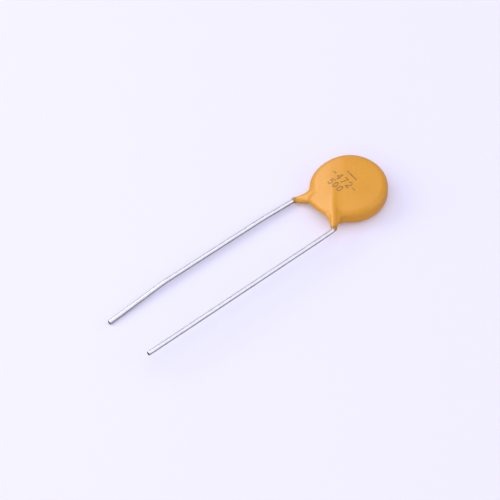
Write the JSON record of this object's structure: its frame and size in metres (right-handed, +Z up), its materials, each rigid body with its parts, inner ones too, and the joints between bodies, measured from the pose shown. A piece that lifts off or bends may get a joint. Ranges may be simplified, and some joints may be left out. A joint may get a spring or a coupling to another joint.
{
  "type": "ceramic disc capacitor",
  "caption": "Dipped ceramic disc capacitor lying flat: round ochre epoxy body with run-down legs and long tinned radial wire leads, slightly bent.",
  "frame": {"origin": "middle of the whole part's footprint, on the surface that it lies on", "axes": "+Z up, across the disc's thickness; +Y along the wires toward the disc, so the free ends point to -Y; +X across the wires, toward the wire that joins the upper face"},
  "size_m": [0.0098, 0.0398, 0.0032],
  "materials": {
    "epoxy_coat": "dipped ochre epoxy resin, satin gloss, small printed numbers on the upper face",
    "tinned_wire": "bright tin-plated steel wire with faint drawing lines and cut ends",
    "solder": "smooth solder",
    "silver_film": "matt fired silver",
    "ceramic": "fine-grained fired dielectric ceramic"
  },
  "bodies": {
    "root": {"ceramic_disc": "ceramic", "upper_electrode": "silver_film", "lower_electrode": "silver_film", "upper_solder": "solder", "lower_solder": "solder", "upper_lead": "tinned_wire", "lower_lead": "tinned_wire", "coating": "epoxy_coat"}
  },
  "joints": []
}
